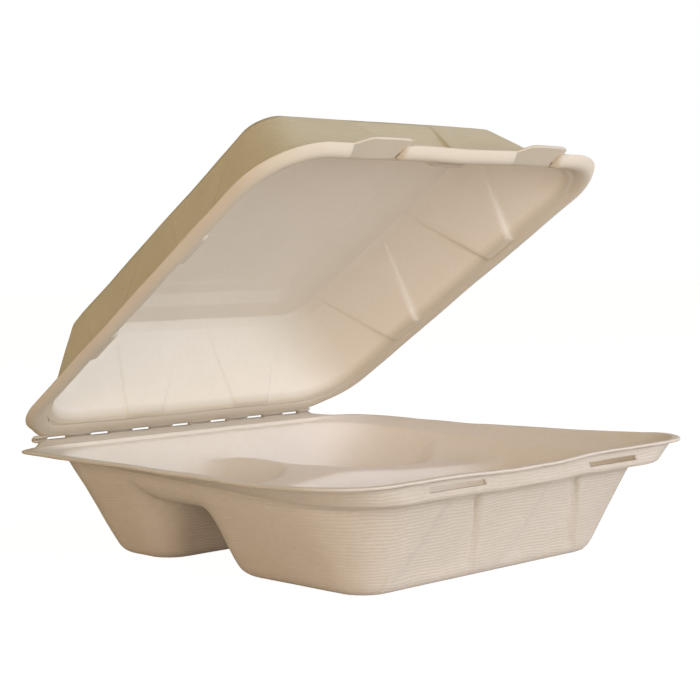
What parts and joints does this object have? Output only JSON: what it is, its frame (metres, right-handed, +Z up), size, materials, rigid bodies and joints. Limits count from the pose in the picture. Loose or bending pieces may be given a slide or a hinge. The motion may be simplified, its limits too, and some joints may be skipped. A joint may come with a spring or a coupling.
{
  "type": "hinged food container",
  "caption": "Square molded fiber clamshell container: a divided tray with a rim, a domed lid on a perforated fold, and tongues on the lid that tuck into slots in the tray's front rim.",
  "frame": {"origin": "at table level, midway across the width and midway between the front of the rim and the fold", "axes": "X along the hinge from left to right, +Y from the front towards the hinge, +Z up"},
  "size_m": [0.229, 0.2427, 0.1938],
  "materials": {
    "fiber_tray": "matte molded pulp",
    "fiber_lid": "matte molded pulp"
  },
  "bodies": {
    "tray": {"tray": "fiber_tray"},
    "lid": {"lid": "fiber_lid"}
  },
  "joints": [
    {"name": "lid_fold", "type": "hinge", "parent": "tray", "child": "lid", "pos_m": [0, 0.12118, 0.0506], "axis": [-1, 0, 0], "range_deg": [-33.7, 148]}
  ]
}
